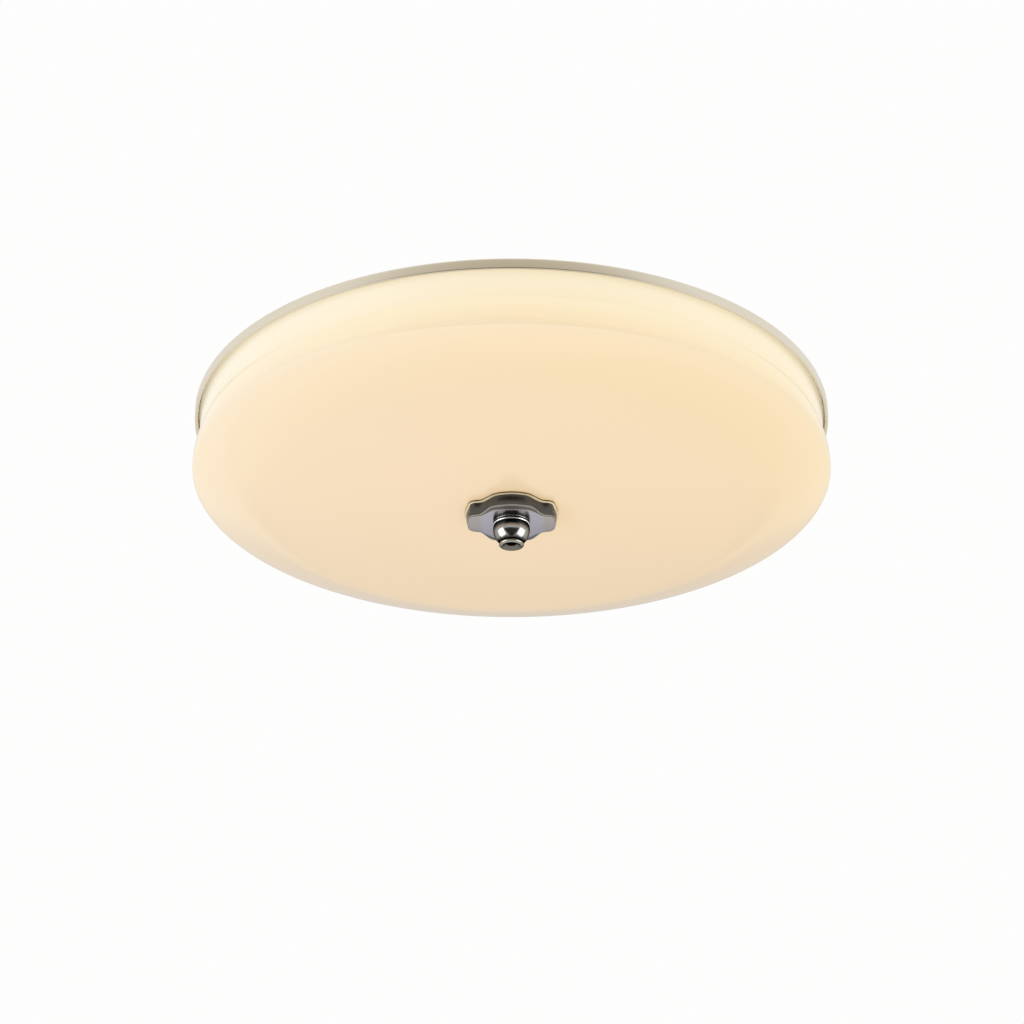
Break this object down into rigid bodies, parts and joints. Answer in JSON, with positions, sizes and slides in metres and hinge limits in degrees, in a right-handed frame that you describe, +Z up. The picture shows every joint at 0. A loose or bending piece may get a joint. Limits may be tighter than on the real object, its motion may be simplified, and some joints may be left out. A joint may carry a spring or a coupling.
{
  "type": "flush mount ceiling light",
  "caption": "Flush mount ceiling light: a shallow opal glass shade under a pressed steel pan, held by a threaded rod, a lobed plate and a turned knob.",
  "frame": {"origin": "centre of the ceiling plane, on the axis of the threaded rod, midway between the crossbar's two slots", "axes": "+Z up into the ceiling along the rod; +X along the crossbar; the viewer of the picture stands on the -Y side and looks up"},
  "size_m": [0.4, 0.4, 0.0834],
  "materials": {
    "pan_paint": "satin warm grey paint",
    "zinc_steel": "bright zinc plate",
    "foam": "closed-cell foam strip",
    "board_white": "white solder mask over aluminium",
    "led_phosphor": "yellow phosphor lens",
    "white_nylon": "natural nylon",
    "driver_plastic": "fine texture",
    "black_rubber": "matt",
    "brass_plated": "plain brass",
    "lead_black": "insulation",
    "lead_white": "insulation",
    "lead_green": "insulation",
    "lead_red": "insulation",
    "opal_glass": "satin opal, lit warm white",
    "clear_silicone": "translucent silicone",
    "black_nickel": "polished black nickel"
  },
  "bodies": {
    "fixture": {"ceiling_pan": "pan_paint", "mounting_crossbar": "zinc_steel", "threaded_rod": "zinc_steel", "crossbar_nut": "zinc_steel", "lock_washer": "zinc_steel", "pan_nut": "zinc_steel", "pan_screws": "zinc_steel", "shade_gasket": "foam", "led_board": "board_white", "led_chips": "led_phosphor", "board_plug": "white_nylon", "board_screws": "zinc_steel", "driver_case": "driver_plastic", "driver_lid": "driver_plastic", "driver_stubs": "black_rubber", "driver_screws": "zinc_steel", "terminal_block": "white_nylon", "clamp_screws": "brass_plated", "block_screws": "zinc_steel", "wire_grommet": "black_rubber", "earth_tongue": "brass_plated", "earth_screw": "brass_plated", "live_lead": "lead_black", "neutral_lead": "lead_white", "earth_lead": "lead_green", "led_positive_lead": "lead_red", "led_negative_lead": "lead_black"},
    "shade": {"glass_shade": "opal_glass", "shade_bush": "clear_silicone", "shade_washer": "clear_silicone", "finial_plate": "black_nickel"},
    "finial": {"finial_knob": "black_nickel"}
  },
  "joints": [
    {"name": "shade_lower", "type": "slide", "parent": "fixture", "child": "shade", "axis": [0, 0, -1], "range_m": [0, 0.008]},
    {"name": "finial_turn", "type": "hinge", "parent": "shade", "child": "finial", "pos_m": [0, 0, -0.068], "axis": [0, 0, -1], "range_deg": [0, 2880]}
  ],
  "couplings": [
    {"joint": "finial_turn", "follows": "shade_lower", "rad_per_m": 6283.2}
  ]
}
